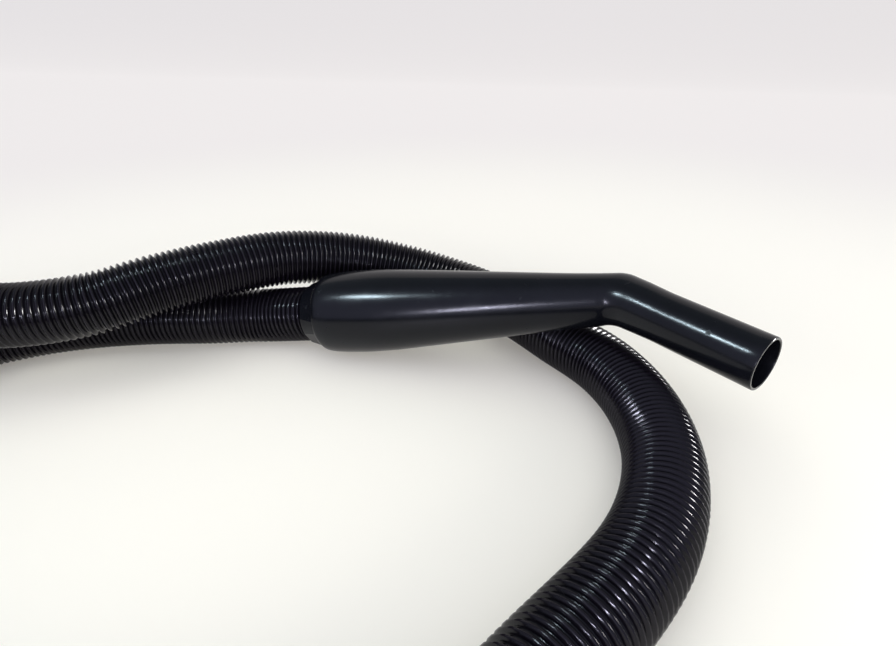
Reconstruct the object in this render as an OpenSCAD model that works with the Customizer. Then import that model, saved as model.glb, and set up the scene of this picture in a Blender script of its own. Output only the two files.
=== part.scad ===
// Vacuum hose: a corrugated hose with a bent wand handle on one end and a
// straight machine connector on the other, both turning on screwed-on cuffs.
// Millimetres, +Z up, +X along the grip in plan, and the origin on the floor
// under the middle of the handle.

/* [Hose] */
// Outside diameter over the ribs
hose_od = 41; // [38:0.5:42]
// Mean wall of the plain tube that stands for the ribbed wall
hose_wall = 1.6; // [1:0.2:3]
// Sides of the plain tube
hose_sides = 12; // [8:2:12]

/* [Handle] */
// Height of the grip axis at the seam behind the grip
seam_height = 27.9; // [27.8:0.1:29]
// Rise of the grip from the floor, degrees
grip_rise = 10.5; // [9:0.5:12]
// Length of the grip axis from the seam to the bend
grip_length = 208.5; // [204:0.5:216]
// Angle of the bend in front of the grip, degrees
bend_angle = 37.5; // [34:0.5:40]
// Turn of the bend about the grip axis from straight down, degrees
bend_roll = -72; // [-80:1:-65]
// Length of the nozzle axis from the bend to the mouth
nozzle_length = 91; // [85:1:95]
// Outside diameter of the straight end of the nozzle
nozzle_od = 31; // [30.5:0.1:31.5]
// Bore of the nozzle
nozzle_bore = 27.6; // [27:0.2:28]

/* [Swivels] */
// Diameter of the cuff's journal
journal_d = 48; // [47.6:0.1:48.2]
// Radial running clearance round the journal
run_clearance = 0.05; // [0.02:0.01:0.1]
// Depth of the socket that the journal turns in
socket_depth = 33; // [32:0.5:36]
// Length of the collar between the seam and the first rib
collar_length = 11; // [10:0.2:16]
// Depth that the hose is screwed into the cuff
hose_grip = 24; // [20:1:26]

/* [Machine end] */
// Outside diameter of the connector's body
connector_od = 53; // [53:0.5:55]
// Length of the connector's body, taper included
connector_body = 45; // [42:1:55]
// Length of the spigot that enters the machine
spigot_length = 40; // [35:1:50]

/* [Hidden] */
$fn = 96;
BLACK = "#1c1c22";
RUBBER = "#111111";
STEEL = "#8a8d92";

hose_r = hose_od / 2;
nozzle_r = nozzle_od / 2;
nozzle_bore_r = nozzle_bore / 2;
journal_r = journal_d / 2;
socket_r = journal_r + run_clearance;
face_gap = 0.6;                 // seam between a collar and what turns on it
end_gap = 0.1;                  // between the journal's end and the seal
eps = 0.01;

// Where the two swivels stand. Each one's axis points from the hose outwards.
seam_pos = [-136.4, 18, seam_height];
machine_pos = [-499.5, -143, 37.2];
machine_heading = 196;
machine_dip = 14;

// Grip: radius at stations along its axis, from the seam to the bend.
grip_stations = [[0, 26.8], [1.2, 28.0], [9.5, 29.2], [29.5, 29.7], [49.5, 29.1], [75.5, 27.0],
                 [117.5, 23.3], [170.5, 18.7], [195.5, 16.9]];
bend_r = 16.4;                  // radius of both legs at the bend
knuckle = 0.5;                  // what the ball at the bend stands proud of the legs
past_bend = 1.5;                // how far each leg runs into the ball beyond its middle
grip_end = grip_length - 12;    // where the handle is cut into its two nodes
grip_end_r = 16.8;              // and its radius there
neck_taper = 30;                // stretch over which the nozzle slims down
passage_r = 22.5;               // air passage behind the grip's taper
passage_straight = 76;          // where the passage starts to narrow
passage_neck = 192;             // where it has reached the nozzle's bore

// Retaining ring and seal
ring_z = 21;
ring_w = 2.2;
ring_seat_r = journal_r - 1.4;
ring_groove_r = socket_r + 0.95;
ring_play = 0.1;
ring_gap = 24;                  // opening of the split ring, degrees
seal_w = 1.8;
seal_bore_r = 18;

// Collar: a cone with six flats on it
collar_front_r = 25.6;
collar_back_r = 22.4;
flat_front = 24.2;              // distance of a flat from the axis at the seam
flat_back = 21.7;               // and at the first rib
hose_seat_r = hose_r + 0.3;
cuff_bore_r = 17;

// Centreline of the hose, from inside the handle's cuff to inside the machine's cuff:
// along the floor in one big open loop, under the grip, over its own first stretch,
// over the far side of the loop, and down to the floor outside it.
route = [
    [-125.1, 18, 30], [-140.3, 18, 27.2], [-155.1, 18, 24.4], [-188.5, 14, 20.5],
    [-225.5, 1, 20.5], [-267.5, -12, 20.5], [-309.5, -30, 20.5], [-345.5, -55, 20.5],
    [-379.5, -95, 20.5], [-398.5, -146, 20.5], [-397.5, -200, 20.5], [-375.5, -250, 20.5],
    [-335.5, -292, 20.5], [-282.5, -320, 20.5], [-222.5, -334, 20.5], [-160.5, -335, 20.5],
    [-99.5, -324, 20.5], [-41.5, -299, 20.5], [14.5, -252, 20.5], [53.5, -192.5, 20.5],
    [86, -135.5, 20.5], [96.5, -84.5, 20.5], [89, -36.5, 20.5], [66.5, 6, 20.5],
    [31, 39, 20.5], [-9, 67, 24.5], [-53.5, 82, 31], [-99.5, 80.4, 41.4],
    [-142.5, 62.5, 53.2], [-179.5, 33.3, 61], [-208.5, 0, 63], [-235.5, -34, 62],
    [-261.5, -66, 58.5], [-296.5, -89, 57.5], [-334.5, -102, 60.3], [-373.5, -110, 63.3],
    [-410.5, -117, 60.5], [-451, -129.1, 49.8], [-479, -137.1, 42.5], [-508.8, -145.7, 34.8]
];
rings_per_span = 2;

// ---- Smooth curve through a list of points (Catmull-Rom) ----
function before(p, i) = i > 0 ? p[i - 1] : 2 * p[0] - p[1];
function after(p, i) = i < len(p) ? p[i] : 2 * p[len(p) - 1] - p[len(p) - 2];
function blend(a, b, c, d, t) =
    0.5 * (2 * b + (c - a) * t + (2 * a - 5 * b + 4 * c - d) * pow(t, 2)
        + (3 * b - a - 3 * c + d) * pow(t, 3));
function curve(p, steps) = [
    for (i = [0 : len(p) - 2], k = [0 : steps - 1])
        blend(before(p, i), p[i], p[i + 1], after(p, i + 2), k / steps),
    p[len(p) - 1]
];

// ---- Hose: a plain tube swept along its route ----
function unit(v) = v / norm(v);
function on_floor(p) = [p[0], p[1], max(p[2], hose_r)];
path = [for (p = curve(route, rings_per_span)) on_floor(p)];
function heading(i) = unit(after(path, i + 1) - before(path, i));
function sideways(i) = unit(cross(heading(i), [0, 0, 1]));
function ring_points(i, r) =
    let (side = sideways(i), up = cross(side, heading(i)))
    [for (k = [0 : hose_sides - 1])
        path[i] + r * (sin(k * 360 / hose_sides) * side + cos(k * 360 / hose_sides) * up)];
function wall_faces(first, flip) = [
    for (i = [0 : len(path) - 2], k = [0 : hose_sides - 1])
        let (a = first + i * hose_sides + k,
             b = first + i * hose_sides + (k + 1) % hose_sides,
             c = b + hose_sides,
             d = a + hose_sides)
        each flip ? [[a, d, c], [a, c, b]] : [[a, c, d], [a, b, c]]
];
function end_faces(ring, inner, flip) = [
    for (k = [0 : hose_sides - 1])
        let (a = ring * hose_sides + k,
             b = ring * hose_sides + (k + 1) % hose_sides,
             c = b + inner,
             d = a + inner)
        each flip ? [[a, c, b], [a, d, c]] : [[a, b, c], [a, c, d]]
];

module hose() {
    inner = len(path) * hose_sides;
    points = concat(
        [for (i = [0 : len(path) - 1]) each ring_points(i, hose_r)],
        [for (i = [0 : len(path) - 1]) each ring_points(i, hose_r - hose_wall)]);
    faces = concat(wall_faces(0, false), wall_faces(inner, true),
        end_faces(0, inner, true), end_faces(len(path) - 1, inner, false));
    color(BLACK) polyhedron(points = points, faces = faces);
}

// ---- Placing ----
// Turns a piece built along +Z, with the seam at its origin, into its place.
module at_handle() {
    translate(seam_pos) rotate([0, 90 - grip_rise, 0]) children();
}
module at_machine() {
    translate(machine_pos) rotate([0, 0, machine_heading]) rotate([0, 90 + machine_dip, 0])
        children();
}
// From the grip's own frame to the nozzle's, with +Z from the bend to the mouth.
module at_bend(angle) {
    rotate([0, 0, bend_roll]) translate([0, 0, grip_length]) rotate([0, angle, 0]) children();
}

// ---- Swivel pieces, shared by both ends ----
module collar_flats() {
    lean = atan((flat_front - flat_back) / collar_length);
    for (i = [0 : 5])
        rotate([0, 0, 60 * i])
            translate([flat_front, 0, -face_gap])
                rotate([0, lean, 0])
                    translate([0, -20, -2 * collar_length])
                        cube([10, 40, 3 * collar_length]);
}

module cuff() {
    back = -face_gap - collar_length;
    seat = back + hose_grip;
    journal_end = socket_depth - seal_w - end_gap;
    difference() {
        union() {
            difference() {
                translate([0, 0, back])
                    cylinder(h = collar_length, r1 = collar_back_r, r2 = collar_front_r);
                collar_flats();
            }
            translate([0, 0, -face_gap - eps])
                cylinder(h = journal_end + face_gap + eps, r = journal_r);
        }
        translate([0, 0, back - 1]) cylinder(h = hose_grip + 1, r = hose_seat_r);
        translate([0, 0, seat - 1]) cylinder(h = journal_end - seat + 2, r = cuff_bore_r);
        translate([0, 0, ring_z - ring_play])
            difference() {
                cylinder(h = ring_w + 2 * ring_play, r = journal_r + 1);
                translate([0, 0, -1]) cylinder(h = ring_w + 2, r = ring_seat_r);
            }
    }
}

module retaining_ring() {
    translate([0, 0, ring_z])
        rotate_extrude(angle = 360 - ring_gap)
            translate([ring_seat_r, 0])
                square([ring_groove_r - ring_play - ring_seat_r, ring_w]);
}

module seal() {
    translate([0, 0, socket_depth - seal_w])
        difference() {
            cylinder(h = seal_w, r = journal_r);
            translate([0, 0, -1]) cylinder(h = seal_w + 2, r = seal_bore_r);
        }
}

// The groove for the retaining ring, in the piece that turns on a cuff.
module ring_groove() {
    translate([0, 0, ring_z - ring_play])
        cylinder(h = ring_w + 2 * ring_play, r = ring_groove_r);
}

// ---- Handle ----
module grip_body() {
    rotate_extrude()
        polygon(concat(
            [[0, 0]],
            [for (p = curve(grip_stations, 4)) [p[1], p[0]]],
            [[grip_end_r, grip_end], [0, grip_end]]));
}

module grip_passage() {
    rotate_extrude()
        polygon([[0, -1], [socket_r, -1], [socket_r, socket_depth], [passage_r, socket_depth],
                 [passage_r, passage_straight], [nozzle_bore_r, passage_neck],
                 [nozzle_bore_r, grip_length], [0, grip_length]]);
}

module nozzle_body() {
    rotate_extrude()
        polygon([[0, -past_bend], [bend_r, -past_bend], [bend_r, 8], [nozzle_r, neck_taper],
                 [nozzle_r, nozzle_length], [0, nozzle_length]]);
}

module nozzle_passage() {
    translate([0, 0, -past_bend])
        cylinder(h = nozzle_length + past_bend + 1, r = nozzle_bore_r);
}

// The leg of the bend that meets the grip.
module bend_leg() {
    rotate_extrude()
        polygon([[0, grip_end], [grip_end_r, grip_end], [bend_r, grip_end + 5],
                 [bend_r, grip_length + past_bend], [0, grip_length + past_bend]]);
}

module handle_grip() {
    color(BLACK) at_handle() difference() {
        grip_body();
        grip_passage();
        ring_groove();
    }
}

module handle_nozzle() {
    color(BLACK) at_handle() difference() {
        union() {
            bend_leg();
            at_bend(0) sphere(bend_r + knuckle);
            at_bend(bend_angle) nozzle_body();
        }
        translate([0, 0, grip_length - 20])
            cylinder(h = 20 + past_bend, r = nozzle_bore_r);
        at_bend(0) sphere(nozzle_bore_r + knuckle);
        at_bend(bend_angle) nozzle_passage();
    }
}

module swivel_cuff() {
    color(BLACK) at_handle() cuff();
}

module swivel_ring() {
    color(STEEL) at_handle() retaining_ring();
}

module swivel_seal() {
    color(RUBBER) at_handle() seal();
}

// ---- Machine end ----
module machine_cuff() {
    color(BLACK) at_machine() cuff();
}

module machine_ring() {
    color(STEEL) at_machine() retaining_ring();
}

module machine_seal() {
    color(RUBBER) at_machine() seal();
}

module machine_connector() {
    body_r = connector_od / 2;
    full = connector_body + spigot_length;
    taper_start = socket_depth + 2;
    color(BLACK) at_machine() difference() {
        rotate_extrude()
            polygon([[socket_r, 0], [body_r - 1, 0], [body_r, 1.5], [body_r, taper_start],
                     [nozzle_r + 3, connector_body], [nozzle_r, connector_body],
                     [nozzle_r, full], [nozzle_bore_r, full], [nozzle_bore_r, connector_body],
                     [passage_r, socket_depth], [socket_r, socket_depth]]);
        ring_groove();
    }
}

handle_grip();
handle_nozzle();
swivel_cuff();
swivel_ring();
swivel_seal();
hose();
machine_cuff();
machine_ring();
machine_seal();
machine_connector();
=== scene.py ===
# Vacuum hose: a ribbed hose in one open loop, with a bent wand handle on a swivel
# cuff and a straight swivel connector for the machine. Metres, in the part's own frame.
import math

import bpy
import numpy as np
from mathutils import Matrix, Vector


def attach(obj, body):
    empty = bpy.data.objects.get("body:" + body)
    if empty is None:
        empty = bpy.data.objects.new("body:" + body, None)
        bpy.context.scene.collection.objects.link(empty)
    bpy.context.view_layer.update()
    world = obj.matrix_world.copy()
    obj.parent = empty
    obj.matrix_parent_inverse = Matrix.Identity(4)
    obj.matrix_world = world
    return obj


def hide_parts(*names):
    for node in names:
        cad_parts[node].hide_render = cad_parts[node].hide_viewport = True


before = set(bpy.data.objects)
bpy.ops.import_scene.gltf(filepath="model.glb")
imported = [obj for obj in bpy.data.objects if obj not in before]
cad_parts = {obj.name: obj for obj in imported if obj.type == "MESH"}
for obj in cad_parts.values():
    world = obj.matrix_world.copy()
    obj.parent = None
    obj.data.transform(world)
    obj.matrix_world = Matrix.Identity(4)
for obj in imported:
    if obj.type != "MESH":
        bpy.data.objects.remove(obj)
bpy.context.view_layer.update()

MM = 0.001

# ---------------------------------------------------------------- camera
cam_data = bpy.data.cameras.new("camera")
cam_data.sensor_width = 36
cam_data.lens = 22.5
cam_data.shift_x = -0.0106
cam_data.shift_y = -0.0184
cam_data.clip_start = 0.01
camera = bpy.data.objects.new("camera", cam_data)
camera.location = (0.05356, -0.31419, 0.21964)
camera.rotation_euler = (math.radians(63.27), 0, math.radians(15.40))
bpy.context.scene.collection.objects.link(camera)
bpy.context.scene.camera = camera

# ---------------------------------------------------------------- route of the hose
HOSE_R = 20.5 * MM
CURVE_STEPS = 24

# The points of the centreline in part.scad, from the handle's end to the machine's.
ROUTE = np.array([
    (-125.1, 18, 30), (-140.3, 18, 27.2), (-155.1, 18, 24.4), (-188.5, 14, 20.5),
    (-225.5, 1, 20.5), (-267.5, -12, 20.5), (-309.5, -30, 20.5), (-345.5, -55, 20.5),
    (-379.5, -95, 20.5), (-398.5, -146, 20.5), (-397.5, -200, 20.5), (-375.5, -250, 20.5),
    (-335.5, -292, 20.5), (-282.5, -320, 20.5), (-222.5, -334, 20.5), (-160.5, -335, 20.5),
    (-99.5, -324, 20.5), (-41.5, -299, 20.5), (14.5, -252, 20.5), (53.5, -192.5, 20.5),
    (86, -135.5, 20.5), (96.5, -84.5, 20.5), (89, -36.5, 20.5), (66.5, 6, 20.5),
    (31, 39, 20.5), (-9, 67, 24.5), (-53.5, 82, 31), (-99.5, 80.4, 41.4),
    (-142.5, 62.5, 53.2), (-179.5, 33.3, 61), (-208.5, 0, 63), (-235.5, -34, 62),
    (-261.5, -66, 58.5), (-296.5, -89, 57.5), (-334.5, -102, 60.3), (-373.5, -110, 63.3),
    (-410.5, -117, 60.5), (-451, -129.1, 49.8), (-479, -137.1, 42.5), (-508.8, -145.7, 34.8),
]) * MM


def smooth_curve(p, steps):
    """Catmull-Rom through p, with steps points for each of its spans."""
    q = np.vstack([2 * p[0] - p[1], p, 2 * p[-1] - p[-2]])
    out = []
    for i in range(len(p) - 1):
        a, b, c, d = q[i:i + 4]
        t = (np.arange(steps) / steps)[:, None]
        out.append(0.5 * (2 * b + (c - a) * t + (2 * a - 5 * b + 4 * c - d) * t ** 2
                          + (3 * b - a - 3 * c + d) * t ** 3))
    out.append(p[-1:])
    return np.vstack(out)


def distances(line):
    """How far each point of a polyline is from its start, along it."""
    return np.r_[0, np.cumsum(np.linalg.norm(np.diff(line, axis=0), axis=1))]


centre = smooth_curve(ROUTE, CURVE_STEPS)
centre[:, 2] = np.maximum(centre[:, 2], HOSE_R)   # a curve dips a little between its points


# ---------------------------------------------------------------- materials
def node(tree, kind, **values):
    """A new node. Names that start with in_ are its inputs, and the rest its settings."""
    n = tree.nodes.new(kind)
    for key, value in values.items():
        if key.startswith("in_"):
            n.inputs[key[3:].replace("_", " ")].default_value = value
        else:
            setattr(n, key, value)
    return n


def new_material(name):
    """A material, its tree and shader, and the coordinates of the object that wears it."""
    m = bpy.data.materials.new(name)
    m.use_nodes = True
    t = m.node_tree
    place = node(t, "ShaderNodeTexCoord").outputs["Object"]
    return m, t, t.nodes["Principled BSDF"], place


def noise(tree, place, **values):
    """Noise at the coordinates place."""
    n = node(tree, "ShaderNodeTexNoise", **values)
    tree.links.new(place, n.inputs["Vector"])
    return n.outputs["Fac"]


def remap(tree, value, **values):
    """A value moved from one range to another, 0 to 1 where none is given."""
    n = node(tree, "ShaderNodeMapRange", **values)
    tree.links.new(value, n.inputs["Value"])
    return n.outputs["Result"]


def two_tones(tree, value, first, second, start=0.0, end=1.0):
    """A ramp from the first colour at start to the second at end."""
    n = node(tree, "ShaderNodeValToRGB")
    for stop, colour, position in zip(n.color_ramp.elements, (first, second), (start, end)):
        stop.color = (*colour, 1)
        stop.position = position
    tree.links.new(value, n.inputs["Fac"])
    return n.outputs["Color"]


def mix(tree, factor, first, second):
    """From first, which is a socket or a colour, to the colour second."""
    n = node(tree, "ShaderNodeMix", data_type="RGBA")
    tree.links.new(factor, n.inputs["Factor"])
    if isinstance(first, tuple):
        n.inputs["A"].default_value = (*first, 1)
    else:
        tree.links.new(first, n.inputs["A"])
    n.inputs["B"].default_value = (*second, 1)
    return n.outputs["Result"]


PLASTIC_IOR = 1.28
CREST_SHEEN = 1.5          # how much lighter a rib's crest is painted: a painted sheen
GRAIN_DEPTH = 0.0004


def plastic(name, dark, light, rough, grain, bump, scuff, ribs=False):
    """Moulded plastic: two close tones in soft clouds, grain in the relief, a gloss that
    varies in smears, and faint rough specks. On ribs the crests are painted lighter: a painted
    sheen."""
    m, t, bsdf, place = new_material(name)
    bsdf.inputs["IOR"].default_value = PLASTIC_IOR
    clouds = noise(t, place, in_Scale=14.0, in_Detail=5.0, in_Roughness=0.6)
    colour = two_tones(t, clouds, dark, light, 0.35, 0.68)
    if ribs:
        crest = node(t, "ShaderNodeAttribute", attribute_name="crest").outputs["Fac"]
        # Painted sheen: the rib crests are painted lighter than the grooves.
        crest_sheen = remap(t, crest, in_From_Min=0.55, in_From_Max=1.0, in_To_Min=0.0, in_To_Max=1.0)
        colour = mix(t, crest_sheen, colour, tuple(min(1, CREST_SHEEN * c) for c in light))
    t.links.new(colour, bsdf.inputs["Base Color"])

    smear = noise(t, place, in_Scale=38.0, in_Detail=6.0, in_Roughness=0.7, in_Distortion=0.6)
    gloss = remap(t, smear, in_From_Min=0.3, in_From_Max=0.7,
                  in_To_Min=rough[0], in_To_Max=rough[1])
    specks = noise(t, place, in_Scale=190.0, in_Detail=2.0)
    spots = remap(t, specks, in_From_Min=0.70, in_From_Max=0.78, in_To_Min=0.0, in_To_Max=scuff)
    total = node(t, "ShaderNodeMath", operation="ADD")
    t.links.new(gloss, total.inputs[0])
    t.links.new(spots, total.inputs[1])
    t.links.new(total.outputs["Value"], bsdf.inputs["Roughness"])

    fine = noise(t, place, in_Scale=grain, in_Detail=3.0, in_Roughness=0.55)
    relief = node(t, "ShaderNodeBump", in_Strength=bump, in_Distance=GRAIN_DEPTH)
    t.links.new(fine, relief.inputs["Height"])
    t.links.new(relief.outputs["Normal"], bsdf.inputs["Normal"])
    return m


def steel():
    """Spring steel, drawn in fine lines along X."""
    m, t, bsdf, place = new_material("spring_steel")
    bsdf.inputs["Metallic"].default_value = 1.0
    stretch = node(t, "ShaderNodeMapping", in_Scale=(40, 900, 900))
    t.links.new(place, stretch.inputs["Vector"])
    lines = noise(t, stretch.outputs["Vector"], in_Scale=1.0, in_Detail=4.0)
    colour = two_tones(t, lines, (0.42, 0.43, 0.45), (0.60, 0.61, 0.63))
    t.links.new(colour, bsdf.inputs["Base Color"])
    t.links.new(remap(t, lines, in_To_Min=0.25, in_To_Max=0.45), bsdf.inputs["Roughness"])
    return m


black = plastic("moulded_black", dark=(0.0026, 0.0030, 0.0042), light=(0.0042, 0.0046, 0.0068),
                rough=(0.14, 0.24), grain=900.0, bump=0.05, scuff=0.25)
ribbed = plastic("ribbed_black", dark=(0.0022, 0.0018, 0.0028), light=(0.0042, 0.0034, 0.0056),
                 rough=(0.11, 0.20), grain=1100.0, bump=0.06, scuff=0.2, ribs=True)
rubber = plastic("seal_black", dark=(0.012, 0.012, 0.012), light=(0.020, 0.020, 0.020),
                 rough=(0.65, 0.8), grain=1500.0, bump=0.3, scuff=0.1)
metal = steel()

# The CAD nodes whose shape stays as it is.
for name, material in [("swivel_cuff", black), ("machine_cuff", black),
                       ("machine_connector", black), ("swivel_seal", rubber),
                       ("machine_seal", rubber), ("swivel_ring", metal),
                       ("machine_ring", metal)]:
    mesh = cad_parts[name].data
    mesh.materials.clear()
    mesh.materials.append(material)


def new_piece(name, points, faces, material):
    """A smooth-shaded mesh object in the scene."""
    mesh = bpy.data.meshes.new(name)
    mesh.from_pydata([tuple(p) for p in points], [], faces)
    mesh.validate()
    mesh.update()
    obj = bpy.data.objects.new(name, mesh)
    bpy.context.scene.collection.objects.link(obj)
    mesh.materials.append(material)
    mesh.polygons.foreach_set("use_smooth", [True] * len(mesh.polygons))
    return obj


# ---------------------------------------------------------------- ribbed hose
RIB_PITCH = 3.8 * MM
RIB_DEPTH = 2.6 * MM
RIB_PROFILE = [0.0, 0.30, 0.78, 1.0, 0.78, 0.30]   # shares of the depth, over one pitch
HOSE_BORE_R = 17.2 * MM
HOSE_AROUND = 30
HOSE_BORE_RINGS = 141
TOUCH = 1e-9              # a point this close to an end of the hose is on it


def ribbed_hose(name, line, material):
    """One rib wound in a helix round the line, with a plain bore, closed at both ends.
    The point attribute crest is 0 in the groove and 1 on the rib's crest."""
    dist = distances(line)
    length = dist[-1]
    heading = np.gradient(line, axis=0)
    heading /= np.linalg.norm(heading, axis=1)[:, None]
    side = np.cross(heading, (0, 0, 1))
    side /= np.linalg.norm(side, axis=1)[:, None]
    up = np.cross(side, heading)

    def place(s, angle, r):
        """Points at the distance s along the line and the angle round it, r away from it."""
        def at(a):
            return np.stack([np.interp(s, dist, a[:, k]) for k in range(3)], -1)
        return at(line) + r[..., None] * (np.sin(angle)[..., None] * at(side)
                                          + np.cos(angle)[..., None] * at(up))

    def ring(s, r):
        angle = 2 * math.pi * np.arange(HOSE_AROUND) / HOSE_AROUND
        return place(np.full(HOSE_AROUND, s), angle, np.full(HOSE_AROUND, r))

    # The skin: a row holds one pitch of the profile, and each row starts one step further
    # round and along. After the skin's points come both end rings and the bore's rings.
    steps = len(RIB_PROFILE)
    rows = HOSE_AROUND * (math.ceil(length / RIB_PITCH) + 2)
    turn = np.arange(rows + HOSE_AROUND + 1)[:, None] + np.zeros((1, steps))
    s = RIB_PITCH * (turn / HOSE_AROUND + np.arange(steps)[None, :] / steps - 1)
    height = np.array(RIB_PROFILE)[None, :] + 0 * turn
    skin = place(np.clip(s, 0, length), 2 * math.pi * turn / HOSE_AROUND,
                 HOSE_R - RIB_DEPTH + RIB_DEPTH * height).reshape(-1, 3)
    base = len(skin)
    points = np.vstack([skin, ring(0, HOSE_R - RIB_DEPTH), ring(length, HOSE_R - RIB_DEPTH)]
                       + [ring(b, HOSE_BORE_R) for b in np.linspace(0, length, HOSE_BORE_RINGS)])
    crest = np.r_[height.reshape(-1), np.zeros(len(points) - base)]

    # A point past an end is exchanged for the point of the end's ring at its angle.
    s = s.reshape(-1)
    spoke = (np.arange(base) // steps) % HOSE_AROUND
    index = np.where(s >= length - TOUCH, base + HOSE_AROUND + spoke, np.arange(base))
    index = np.where(s <= TOUCH, base + spoke, index)
    index = index.reshape(-1, steps)
    index = np.column_stack([index[:rows + 1], index[HOSE_AROUND:, 0]])
    faces = []
    for i in range(rows):
        for k in range(steps):
            quad = (index[i, k], index[i + 1, k], index[i + 1, k + 1], index[i, k + 1])
            corners = list(dict.fromkeys(int(v) for v in quad))
            if len(corners) > 2 and min(corners) < base:
                faces.append(corners)

    near, far = base, base + HOSE_AROUND
    first = base + 2 * HOSE_AROUND
    last = first + (HOSE_BORE_RINGS - 1) * HOSE_AROUND
    for k in range(HOSE_AROUND):
        n = (k + 1) % HOSE_AROUND
        for r in range(first, last, HOSE_AROUND):
            faces.append([r + k, r + n, r + n + HOSE_AROUND, r + k + HOSE_AROUND])
        faces.append([near + k, first + k, first + n, near + n])
        faces.append([far + k, far + n, last + n, last + k])

    used = np.unique(np.concatenate([np.array(f) for f in faces]))
    renumber = np.full(len(points), -1)
    renumber[used] = np.arange(len(used))
    faces = [[int(renumber[v]) for v in f] for f in faces]
    obj = new_piece(name, points[used], faces, material)
    mark = obj.data.attributes.new("crest", "FLOAT", "POINT")
    mark.data.foreach_set("value", crest[used].astype(np.float32))
    return obj


hose = ribbed_hose("ribbed_hose", centre, ribbed)
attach(hose, "hose_line")
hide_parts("hose")

# ---------------------------------------------------------------- handle
# The handle is made on the grip's axis, with the seam at 0, and then put in its place. Its
# profiles are pairs of millimetres: how far along, and the radius. On the grip, how far is
# from the seam, and on the nozzle from the bend.
SEAM = Vector((-136.4, 18, 27.9)) * MM
GRIP_RISE = math.radians(10.5)
BEND = math.radians(37.5)
BEND_ROLL = math.radians(-72)
GRIP_LENGTH = 208.5
NOZZLE_LENGTH = 91
SOCKET_R = 24.05          # the cuff's journal turns in it
SOCKET_DEPTH = 33
GROOVE_R = 25.0           # the groove for the split ring
GROOVE = (20.9, 23.3)
PASSAGE_R = 22.5
BEND_R = 16.4
NOZZLE_R = 15.5
BORE_R = 13.8
HANDLE_AROUND = 96

SEAM_EDGE = [(0.5, SOCKET_R), (0.1, 24.3), (0, 24.6), (0, 26.8), (0.06, 27.0), (0.2, 27.15),
             (0.7, 27.5), (1.3, 27.9)]
GRIP = np.array([(0, 26.8), (1.2, 28.0), (9.5, 29.2), (29.5, 29.7), (49.5, 29.1),
                 (75.5, 27.0), (117.5, 23.3), (170.5, 18.7), (195.5, 16.9)])
GRIP_STATIONS = np.r_[2.3, np.arange(4, 194, 3), 195.5]
NOZZLE = [(14, 16.2), (18, 16.0), (22, 15.8), (26, 15.62)]
NOZZLE += [(t, NOZZLE_R) for t in (30, 38, 50, 62, 74, 84, 90.3)]
MOUTH = [(90.75, 15.38), (NOZZLE_LENGTH, 15.1), (NOZZLE_LENGTH, 14.2), (90.8, 13.92)]
BORE = [(t, BORE_R) for t in (90.3, 84, 70, 50, 30, 16)]
INSIDE = [(192, BORE_R), (160, 16.2), (118, 19.35), (76, PASSAGE_R), (60, PASSAGE_R),
          (SOCKET_DEPTH, PASSAGE_R), (SOCKET_DEPTH, SOCKET_R), (GROOVE[1], SOCKET_R),
          (GROOVE[1], GROOVE_R), (GROOVE[0], GROOVE_R), (GROOVE[0], SOCKET_R)]

TURN = (2 * math.pi * np.arange(HANDLE_AROUND) / HANDLE_AROUND)[:, None]
AXIS = np.array((0.0, 0.0, 1.0))
E1 = np.array((math.cos(BEND_ROLL), math.sin(BEND_ROLL), 0.0))
E2 = np.array((-math.sin(BEND_ROLL), math.cos(BEND_ROLL), 0.0))
NOZZLE_AXIS = math.sin(BEND) * E1 + math.cos(BEND) * AXIS
NOZZLE_E1 = math.cos(BEND) * E1 - math.sin(BEND) * AXIS
VERTEX = GRIP_LENGTH * MM * AXIS


def grip_ring(s, r):
    return s * MM * AXIS + r * MM * (np.cos(TURN) * E1 + np.sin(TURN) * E2)


def nozzle_ring(t, r):
    return VERTEX + t * MM * NOZZLE_AXIS + r * MM * (np.cos(TURN) * NOZZLE_E1 + np.sin(TURN) * E2)


def bend_rings(r, reach, steps):
    """The corner where both legs meet, rounded over reach along each line of the surface."""
    lean = math.tan(BEND / 2)
    corner = (VERTEX - (r * MM * lean) * np.cos(TURN) * AXIS
              + r * MM * (np.cos(TURN) * E1 + np.sin(TURN) * E2))
    a, c = corner - reach * MM * AXIS, corner + reach * MM * NOZZLE_AXIS
    return [(1 - u) ** 2 * a + 2 * u * (1 - u) * corner + u ** 2 * c
            for u in np.linspace(0, 1, steps)]


# From the seam over the outside to the mouth, and back through the bore.
rings = [grip_ring(s, r) for s, r in SEAM_EDGE]
grip_curve = smooth_curve(GRIP, 16)
rings += [grip_ring(s, np.interp(s, grip_curve[:, 0], grip_curve[:, 1])) for s in GRIP_STATIONS]
rings += bend_rings(BEND_R, reach=6.0, steps=9)
rings += [nozzle_ring(t, r) for t, r in NOZZLE + MOUTH + BORE]
rings += bend_rings(BORE_R, reach=4.0, steps=5)[::-1]
rings += [grip_ring(s, r) for s, r in INSIDE]
points = np.vstack(rings)
faces = []
for i in range(len(rings)):
    a, b = HANDLE_AROUND * i, HANDLE_AROUND * ((i + 1) % len(rings))
    for k in range(HANDLE_AROUND):
        n = (k + 1) % HANDLE_AROUND
        faces.append([a + k, a + n, b + n, b + k])
handle = new_piece("wand_handle", points, faces, black)
handle.data.transform(Matrix.Translation(SEAM) @ Matrix.Rotation(math.pi / 2 - GRIP_RISE, 4, "Y"))
handle.data.set_sharp_from_angle(angle=math.radians(40))
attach(handle, "handle")
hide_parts("handle_grip", "handle_nozzle")

# ---------------------------------------------------------------- floor, light, room
FADE = (0.35, 1.1)        # where the floor's glow starts to rise from its weak level near the object, and where it is full


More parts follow.
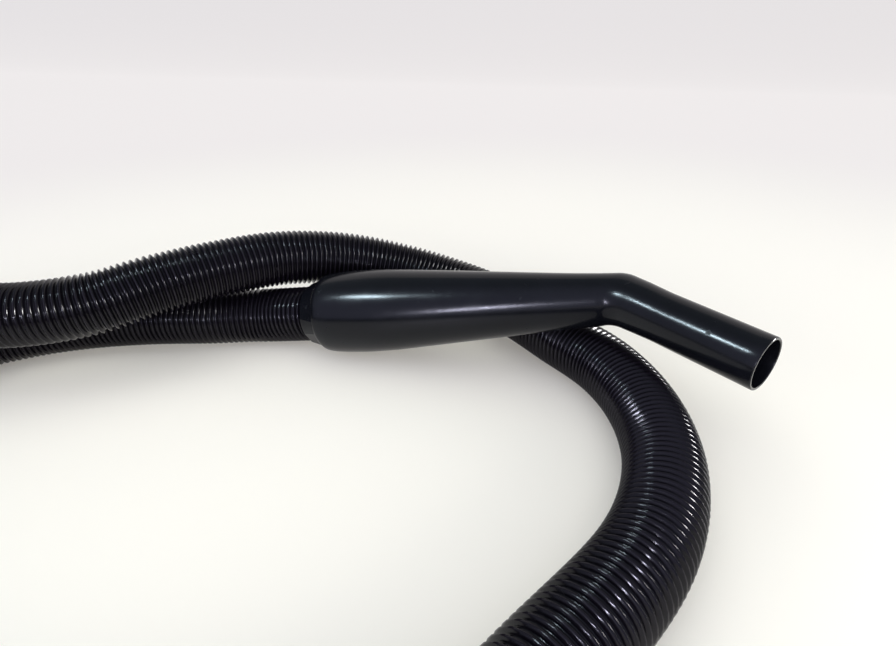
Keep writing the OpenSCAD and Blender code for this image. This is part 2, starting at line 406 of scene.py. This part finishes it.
def paper():
    """Pale paper that glows. Near the object the glow is weak and lightens the shadows, a
    painted fill light; away from the object it glows evenly, so that it doesn't show how each
    light falls off."""
    m, t, bsdf, place = new_material("pale_floor")
    bsdf.inputs["Roughness"].default_value = 0.5
    clouds = noise(t, place, in_Scale=1.6, in_Detail=2.0)
    tone = two_tones(t, clouds, (0.89, 0.86, 0.74), (0.90, 0.88, 0.76))
    flat = node(t, "ShaderNodeVectorMath", operation="MULTIPLY")
    flat.inputs[1].default_value = (1, 1, 0)
    t.links.new(place, flat.inputs[0])
    away = node(t, "ShaderNodeVectorMath", operation="LENGTH")
    t.links.new(flat.outputs["Vector"], away.inputs[0])
    far = remap(t, away.outputs["Value"], interpolation_type="SMOOTHSTEP",
                in_From_Min=FADE[0], in_From_Max=FADE[1])
    t.links.new(mix(t, far, tone, (0.14, 0.13, 0.13)), bsdf.inputs["Base Color"])
    bsdf.inputs["Emission Color"].default_value = (0.94, 0.91, 0.89, 1)
    # The weak glow near the object is painted light: it lightens the shadows there.
    t.links.new(remap(t, far, in_To_Min=0.10, in_To_Max=0.69), bsdf.inputs["Emission Strength"])
    return m


def backdrop():
    """A floor that curves up into a wall far behind the object."""
    half_width, front, back, sweep, top = 9, -5.0, 2.0, 1.2, 4.0
    line = [(front, 0.0), (back, 0.0)]
    line += [(back + sweep * math.sin(a), sweep - sweep * math.cos(a))
             for a in np.radians(np.arange(6, 91, 6))]
    line += [(back + sweep, top)]
    points = [(x, y, z) for y, z in line for x in (-half_width, half_width)]
    faces = [[2 * i, 2 * i + 1, 2 * i + 3, 2 * i + 2] for i in range(len(line) - 1)]
    return new_piece("backdrop", points, faces, paper())


floor = backdrop()

AIM = Vector((0, 0, 0.05))   # what every panel faces


def panel(name, azimuth, elevation, distance, size, radiance, colour, along=None,
          mirrored=True):
    """A soft oval panel of even radiance, facing the object. Azimuth 0 is +Y and 90 is +X,
    and along is the direction of its first size. A mirrored one is only seen in the gloss,
    and any other only lights what is matt."""
    az, el = math.radians(azimuth), math.radians(elevation)
    out = Vector((math.sin(az) * math.cos(el), math.cos(az) * math.cos(el), math.sin(el)))
    data = bpy.data.lights.new(name, "AREA")
    data.shape = "ELLIPSE"
    data.size, data.size_y = size
    data.energy = radiance * math.pi * size[0] * size[1] * math.pi / 4
    data.color = colour
    obj = bpy.data.objects.new(name, data)
    x = Vector(along) if along else Vector((-out.y, out.x, 0))
    x = (x - x.dot(out) * out).normalized()
    turned = Matrix((x, out.cross(x), out)).transposed().to_4x4()
    obj.matrix_world = Matrix.Translation(AIM + out * distance) @ turned
    obj.visible_camera = False
    obj.visible_glossy = mirrored
    obj.visible_diffuse = not mirrored
    bpy.context.scene.collection.objects.link(obj)


panel("key_panel", -124.5, 45.8, 1.5, (0.40, 0.08), 200.0, (0.72, 0.90, 1.0),
      along=(0.80, -0.46, 0.39))
panel("side_window", 68, 18, 1.5, (0.46, 0.20), 130.0, (1.0, 0.99, 0.99))
panel("front_strip", -170, 14.5, 1.0, (0.24, 0.020), 380.0, (0.80, 0.80, 1.0),
      along=(0.222, 0.028, 0.199))
panel("ceiling", 0, 88, 1.8, (2.9, 2.9), 0.80, (1.0, 0.98, 0.95), mirrored=False)
for azimuth, radiance in [(180, 4.5), (130, 3.6), (-130, 3.6)]:
    panel("fill", azimuth, 17, 2.4, (2.2, 0.9), radiance, (1.0, 0.97, 0.92), mirrored=False)


def room():
    """A world that is brighter and bluer behind the camera than ahead of it."""
    world = bpy.data.worlds.new("room")
    world.use_nodes = True
    t = world.node_tree
    toward = node(t, "ShaderNodeVectorMath", operation="DOT_PRODUCT")
    toward.inputs[1].default_value = (-0.15, -0.95, 0.25)
    t.links.new(node(t, "ShaderNodeTexCoord").outputs["Generated"], toward.inputs[0])
    share = remap(t, toward.outputs["Value"], in_From_Min=0.2, in_From_Max=1.0)
    t.links.new(mix(t, share, (0.27, 0.32, 0.36), (0.84, 0.86, 1.22)),
                t.nodes["Background"].inputs["Color"])
    return world


bpy.context.scene.world = room()
bpy.context.scene.view_settings.view_transform = "Standard"
